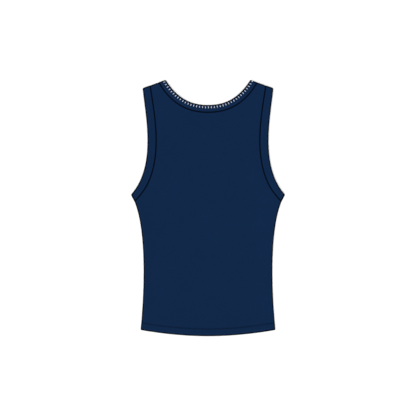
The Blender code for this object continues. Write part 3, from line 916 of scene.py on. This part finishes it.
def armhole_ring(side):
    """Places round an armhole, from the shoulder down the back and up the front."""
    down_and_up = over_a_fold(ARMHOLE_PATHS, SHOULDER_FOLD, UNDERARM_FOLD)
    shoulder = fold_places(BACK[ARMHOLE_PATHS], FRONT[ARMHOLE_PATHS], SHOULDER_FOLD)
    places = np.concatenate([down_and_up, shoulder[::-1]])
    return Ring(places if side > 0 else on_left(places))


def band_profile():
    """A band's section: rows of (share of its width, step, depth, way out, way up)."""
    radius = DOUBLE / 2
    rows = [
        (0.0, radius - radius * math.cos(turn), radius - radius * math.sin(turn),
         -math.cos(turn), math.sin(turn))
        for turn in BAND_EDGE_TURNS
    ]
    rows += [(share, 0.0, DOUBLE, 0.0, -1.0) for share in BAND_INNER_SHARES]
    for step in BAND_DITCH_STEPS:
        level = max(0.0, 1 - step / SEAM_DITCH_WIDTH)
        rows.append((1.0, -step, SEAM_DITCH * (1 - math.sqrt(1 - level**2)), 0.0, 1.0))
    rows += [(share, 0.0, 0.0, 0.0, 1.0) for share in BAND_OUTER_SHARES]
    return np.array(rows).T


def band(node, ring, surface):
    """A band's ribbed skin."""
    share, step, depth, way_out, way_up = band_profile()
    ribs = round(ring.runs[-1] / RIB_PITCH)
    wave = np.abs(np.cos(math.pi * ribs * ring.runs[:-1] / ring.runs[-1])) ** RIB_ROUNDNESS
    level = RIB_MEAN + (1 - RIB_MEAN) * ring.pressed
    rise = RIB_RISE * (wave - level)[:, None]
    across = share + step / NECK_BAND_WIDTH
    crown = ring.crown(across) * np.maximum(way_up, 0.0)
    points = ring.points(share, step + rise * way_out, depth - rise * way_up - crown)
    vertices = settled(points, ring.lift[:, None])

    quads, corners = grid(*points.shape[:2], True, True)
    section = np.column_stack([across * NECK_BAND_WIDTH, depth])
    section_runs = run_lengths(np.concatenate([section, section[:1]]))
    uvs = np.stack([ring.runs[corners[..., 0]], section_runs[corners[..., 1]]], axis=-1)

    # Painted shade on the outer face of the band, near black by the seams and the outline.
    shade = np.zeros(points.shape[:2])
    for side, lines in ((1.0, BACK_LINES), (-1.0, FRONT_LINES)):
        outside = (ring.places["side"][:, None] == side) & (way_up >= 0)
        shade[outside] = painted_shade(points[outside, :2], lines)
    vertices = vertices.reshape(-1, 3)
    triangles = in_triangles(quads)
    made = add_object(node + "_rib", vertices, triangles, surface, in_triangles(uvs), shade.ravel())
    return stand_in(made, node)


# ---- stitches


def stitches(name, tracks, radius, surface):
    """Round-ended threads. Each has rows of (x, y, z, way out, lift) along its middle."""
    centres, out, lift = tracks[..., :3], tracks[..., 3:6], tracks[..., 6:]
    along_it = unit(np.gradient(centres, axis=1))
    sideways = unit(np.cross(along_it, out))
    out = np.cross(sideways, along_it)
    count, steps = centres.shape[:2]
    share = np.linspace(-1, 1, steps)
    scale = (1 - END_TAPER * share**4)[:, None, None]
    turns = np.linspace(0, 2 * math.pi, STITCH_SIDES, endpoint=False)[:, None]
    spread = sideways[:, :, None] * np.cos(turns) + out[:, :, None] * np.sin(turns)
    points = settled(centres[:, :, None] + radius * scale * spread, lift)

    quads, corners = grid(steps, STITCH_SIDES, False, True)
    length = np.linalg.norm(np.diff(centres[0], axis=0), axis=1).sum()
    thread_uvs = np.stack(
        [corners[..., 0] / (steps - 1) * length, corners[..., 1] / STITCH_SIDES], axis=-1
    )
    first_cap = np.array([(0, side, side + 1) for side in range(1, STITCH_SIDES - 1)])
    last_cap = first_cap[:, [0, 2, 1]] + (steps - 1) * STITCH_SIDES
    triangles = np.concatenate([in_triangles(quads), first_cap, last_cap])
    cap_uvs = np.zeros((len(first_cap) + len(last_cap), 3, 2))
    uvs = np.concatenate([in_triangles(thread_uvs), cap_uvs])
    offsets = np.arange(count)[:, None, None] * steps * STITCH_SIDES
    all_triangles = (triangles + offsets).reshape(-1, 3)
    all_uvs = np.broadcast_to(uvs, (count, *uvs.shape)).reshape(-1, 3, 2)
    return add_object(name, points.reshape(-1, 3), all_triangles, surface, all_uvs)


def stitch_row(name, track, sewing, surface):
    """A row of stitches along a track, each risen in the middle and sunk at its ends."""
    runs = run_lengths(track[:, :3])
    count = round(runs[-1] / sewing.pitch)
    middles = (np.arange(count) + 0.5) * runs[-1] / count
    share = np.linspace(0, 1, STITCH_STEPS)
    rows = read_along(track[:, :3], track, middles[:, None] + (share - 0.5) * sewing.length)
    rows[..., 3:6] = unit(rows[..., 3:6])
    lifted = sewing.arch * (2 * np.sin(math.pi * share) ** ARCH_FULLNESS - 1)
    rows[..., :3] += rows[..., 3:6] * lifted[:, None]
    return stitches(name, rows, sewing.radius, surface)


def ring_seam(name, ring, surface):
    """The stitches in the ditch between a band and its panels."""
    depth = SEAM_THREAD_DEPTH + SEAM_PRESSED_SINK * ring.pressed[:, None]
    return stitch_row(name, ring.tracks(1.0, SEAM_GAP / 2, depth)[:, 0], SEAM_SEWING, surface)


def fold_seam(name, path, surface, side):
    """The stitches of a side or shoulder seam, on the fold between the layers."""
    out = left_of(directions(path))
    plan = path - out * FOLD_THREAD_INSET
    track = np.column_stack([plan, np.full(len(plan), FOLD_RADIUS), out, np.zeros((len(plan), 2))])
    track[:, [0, 3]] *= side
    return stitch_row(name, track, SEAM_SEWING, surface)


def hem_stitches(name, upper, surface):
    """The row of stitches that holds the turned-up hem of one panel."""
    clear = SIDE_LINE.distance(HEM_STITCH_PATH) > HEM_END_CLEARANCE
    end = run_lengths(HEM_STITCH_PATH)[clear][-1] // HEM_STITCH_PITCH * HEM_STITCH_PITCH
    right = along(HEM_STITCH_PATH, np.linspace(0, end, CURVE_SAMPLES))
    plan = np.concatenate([right[:0:-1] * (-1, 1), right])
    track = np.zeros((len(plan), 7))
    track[:, :2] = plan
    if upper:
        track[:, 2] = upper_face_height(plan) - HEM_DITCH + HEM_SEWING.arch
        track[:, 5:] = 1.0
    else:
        track[:, 2] = HEM_SEWING.radius + HEM_SEWING.arch
        track[:, 5] = -1.0
    return stitch_row(name, track, HEM_SEWING, surface)


def bar_runs(total):
    """Distances of the bar stitches round the neck, from the middle of the back."""
    shown = BAR_OFFSET + BAR_PITCH * np.arange(-BARS_EACH_WAY, BARS_EACH_WAY)
    rest = total + shown[0] - shown[-1]
    hidden = np.linspace(shown[-1], total + shown[0], round(rest / BAR_PITCH) + 1)[1:-1]
    return np.concatenate([shown, hidden]) % total


def bar_stitches(name, ring, surface):
    """The white bar stitches, each of a few threads side by side."""
    edge_runs = ring.closed_runs(0.0, 0.0, DOUBLE / 2)
    share = np.linspace(0, 1, BAR_STEPS)
    steps = BAR_START + (BAR_END - BAR_START) * share
    arch = np.sin(math.pi * share) ** ARCH_FULLNESS
    pressed = ring.pressed[:, None]
    proud = ring.crown(steps / NECK_BAND_WIDTH)
    proud = proud + (1 - pressed) * (BAR_PROUD * arch - BAR_SUNK * (1 - arch))
    tracks = ring.tracks(0.0, steps, pressed * BAR_PRESSED_DEPTH - proud)
    strands = (np.arange(BAR_STRANDS) - (BAR_STRANDS - 1) / 2) * BAR_STRAND_PITCH
    runs = (bar_runs(edge_runs[-1])[:, None] + strands).ravel() % edge_runs[-1]
    places = np.clip(np.searchsorted(edge_runs, runs) - 1, 0, len(edge_runs) - 2)
    between = ((runs - edge_runs[places]) / (edge_runs[places + 1] - edge_runs[places]))[:, None, None]
    rows = tracks[places] * (1 - between) + tracks[places + 1] * between
    rows[..., 3:6] = unit(rows[..., 3:6])
    return stitches(name, rows, BAR_THREAD_RADIUS, surface)


# ---- materials


def set_sockets(node, values):
    for name, value in values.items():
        node.inputs[name].default_value = value


class Surface:
    """A material and the nodes that shape its colour and relief."""

    def __init__(self, name, roughness, specular, sheen, sheen_tint):
        self.material = bpy.data.materials.new(name)
        self.material.use_nodes = True
        self.tree = self.material.node_tree
        self.shader = self.tree.nodes["Principled BSDF"]
        set_sockets(self.shader, {
            "Roughness": roughness,
            "Specular IOR Level": specular,
            "Specular Tint": CLOTH_TINT,
            "Sheen Weight": sheen,
            "Sheen Roughness": SHEEN_ROUGHNESS,
            "Sheen Tint": sheen_tint,
        })

    def add(self, kind, **settings):
        node = self.tree.nodes.new("ShaderNode" + kind)
        for setting, value in settings.items():
            setattr(node, setting, value)
        return node

    def feed(self, socket, value):
        """Links an output to a socket, or sets the socket to a number."""
        if isinstance(value, bpy.types.NodeSocket):
            self.tree.links.new(value, socket)
        else:
            socket.default_value = value

    def math(self, operation, *values):
        node = self.add("Math", operation=operation)
        for socket, value in zip(node.inputs, values):
            self.feed(socket, value)
        return node.outputs[0]

    def across_and_along(self):
        """The two directions of the cloth's own map, in metres."""
        split = self.add("SeparateXYZ")
        self.feed(split.inputs[0], self.add("UVMap", uv_map="cloth").outputs["UV"])
        return split.outputs["X"], split.outputs["Y"]

    def noise(self, scale, detail):
        """Smooth noise from 0 to 1, with `scale` features in a metre."""
        node = self.add("TexNoise")
        self.feed(node.inputs["Vector"], self.add("TexCoord").outputs["Object"])
        set_sockets(node, {"Scale": scale, "Detail": detail})
        return node.outputs["Fac"]

    def around_one(self, value, spread):
        """A 0 to 1 value as a factor around one."""
        return self.math("MULTIPLY_ADD", value, 2 * spread, 1 - spread)

    def colour(self, base, factor):
        node = self.add("VectorMath", operation="SCALE")
        node.inputs[0].default_value = base[:3]
        self.feed(node.inputs["Scale"], factor)
        self.feed(self.shader.inputs["Base Color"], node.outputs[0])

    def relief(self, height, distance):
        node = self.add("Bump")
        node.inputs["Distance"].default_value = distance
        self.feed(node.inputs["Height"], height)
        self.feed(self.shader.inputs["Normal"], node.outputs[0])


def knit(surface, wale, course):
    """Height from 0 to 1 of knit stitches, each two slanted legs."""
    across, up = surface.across_and_along()
    calc = surface.math
    in_wale = calc("FRACT", calc("MULTIPLY", across, 1 / wale))
    from_middle = calc("ABSOLUTE", calc("SUBTRACT", in_wale, 0.5))
    from_leg = calc("MULTIPLY", calc("SUBTRACT", from_middle, 0.25), 4.0)
    leg = calc("SUBTRACT", 1.0, calc("MULTIPLY", from_leg, from_leg))
    slanted = calc("ADD", calc("MULTIPLY", up, 1 / course), from_middle)
    return calc("MULTIPLY", leg, calc("SINE", calc("MULTIPLY", calc("FRACT", slanted), math.pi)))


def cloth(name, base, wale, course, relief):
    """Matt knitted cloth, uneven in tone, with painted shade: darker in the grooves of its knit and near
    black in its seams and at its edges.
    """
    made = Surface(name, CLOTH_ROUGHNESS, CLOTH_SPECULAR, CLOTH_SHEEN, CLOTH_SHEEN_TINT)
    stitch = knit(made, wale, course)
    fuzz = made.noise(FUZZ_SCALE, FUZZ_DETAIL)
    tone = made.around_one(made.noise(PATCH_SCALE, TONE_DETAIL), PATCH_SPREAD)
    yarn = made.around_one(made.noise(YARN_SCALE, TONE_DETAIL), YARN_SPREAD)
    # Painted shade in the grooves between the knit's legs.
    groove_shade = made.math("MULTIPLY_ADD", stitch, GROOVE_SHADE, 1 - GROOVE_SHADE)
    # Painted shade from the shade attribute darkens the colour in the seams, at the edges and round the
    # hem stitches.
    shade = made.add("Attribute", attribute_name="shade").outputs["Fac"]
    lit = made.math("MULTIPLY_ADD", shade, -SHADE_STRENGTH, 1.0)
    factor = tone
    for other in (yarn, groove_shade, lit):
        factor = made.math("MULTIPLY", factor, other)
    made.colour(base, factor)
    made.relief(made.math("MULTIPLY_ADD", fuzz, FUZZ_SHARE, stitch), relief)
    return made.material


def thread(name, base, sheen):
    """Two-ply sewing thread, with its twist as slanted ridges and painted shade between the plies."""
    made = Surface(name, THREAD_ROUGHNESS, THREAD_SPECULAR, sheen, base)
    along_it, around = made.across_and_along()
    turned = made.math("MULTIPLY_ADD", around, PLIES, made.math("MULTIPLY", along_it, 1 / PLY_PITCH))
    ply = made.math("ABSOLUTE", made.math("SINE", made.math("MULTIPLY", turned, math.pi)))
    # Painted shade in the grooves between the plies of the thread.
    made.colour(base, made.math("MULTIPLY_ADD", ply, PLY_SHADE, 1 - PLY_SHADE))
    made.relief(ply, PLY_RELIEF)
    return made.material


# ---- stage


def camera():
    """A camera straight over the garment, with the picture's frame on the floor."""
    data = bpy.data.cameras.new("camera")
    data.lens = LENS
    data.sensor_width = SENSOR
    data.clip_end = CAMERA_REACH
    made = linked("camera", data)
    made.location = (0.0, 0.0, PICTURE_SIDE * PIXEL * LENS / SENSOR)
    bpy.context.scene.camera = made


def floor():
    """A plain white floor that glows a little, like a light table."""
    half = FLOOR_SIDE / 2
    mesh = bpy.data.meshes.new("floor")
    mesh.from_pydata(
        [(-half, -half, 0), (half, -half, 0), (half, half, 0), (-half, half, 0)], [], [(0, 1, 2, 3)]
    )
    surface = bpy.data.materials.new("floor")
    surface.use_nodes = True
    set_sockets(surface.node_tree.nodes["Principled BSDF"], {
        "Base Color": (FLOOR_GREY, FLOOR_GREY, FLOOR_GREY, 1.0),
        "Roughness": 1.0,
        "Specular IOR Level": 0.0,
        "Emission Color": WHITE,
        "Emission Strength": FLOOR_GLOW,
    })
    mesh.materials.append(surface)
    made = linked("floor", mesh)
    return made


def light():
    """White light from all round, and a soft lamp from the upper left."""
    world = bpy.data.worlds.new("world")
    world.use_nodes = True
    set_sockets(world.node_tree.nodes["Background"], {"Color": WHITE, "Strength": WORLD_LIGHT})
    bpy.context.scene.world = world
    lamp = bpy.data.lights.new("key", "SUN")
    lamp.energy = KEY_LIGHT
    lamp.angle = KEY_SPREAD
    linked("key", lamp).rotation_euler = KEY_TILT
    bpy.context.scene.view_settings.view_transform = "Standard"


def panels(jersey, thread_surface):
    """Both panels and their hems' stitches."""
    back = panel("back_panel", BACK, True, jersey)
    front = panel("front_panel", FRONT, False, jersey)
    back_hem = hem_stitches("back_hem_stitches", True, thread_surface)
    front_hem = hem_stitches("front_hem_stitches", False, thread_surface)


def bound_opening(node, ring, width, rib, seam_thread, ground, bar_thread=None):
    """The band round one opening, and its stitches."""
    made = band(node, ring, rib)
    rows = [ring_seam(node.replace("band", "seam_stitches"), ring, seam_thread)]
    if bar_thread:
        rows.append(bar_stitches("neck_bar_stitches", ring, bar_thread))


def fold_seams(name, surface, side):
    """The side and shoulder seams of one half."""
    down_the_side = np.linspace(BAND_AT_UNDERARM, run_lengths(SIDE)[-1], CURVE_SAMPLES)
    start = NECK_POINT + SHOULDER_WAY * NECK_BAND_WIDTH
    end = SHOULDER_POINT - SHOULDER_WAY * BAND_AT_SHOULDER
    fold_seam("side_seam_stitches_" + name, along(SIDE, down_the_side), surface, side)
    fold_seam("shoulder_seam_stitches_" + name, np.linspace(start, end, CURVE_SAMPLES), surface, side)


def main():
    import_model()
    camera()
    ground = floor()
    light()

    jersey = cloth("navy_jersey", NAVY, JERSEY_WALE, JERSEY_COURSE, JERSEY_RELIEF)
    rib = cloth("navy_rib", NAVY_RIB, RIB_PITCH, RIB_COURSE, RIB_RELIEF)
    seam_thread = thread("seam_thread", SEAM_BLACK, 0.0)
    bar_thread = thread("bar_thread", BAR_WHITE, BAR_THREAD_SHEEN)

    panels(jersey, seam_thread)
    look = rib, seam_thread, ground
    bound_opening("neck_band", neck_ring(), NECK_BAND_WIDTH, *look, bar_thread)
    for name, side in (("left", -1.0), ("right", 1.0)):
        bound_opening("armhole_band_" + name, armhole_ring(side), BAND_AT_SHOULDER, *look)
        fold_seams(name, seam_thread, side)


main()
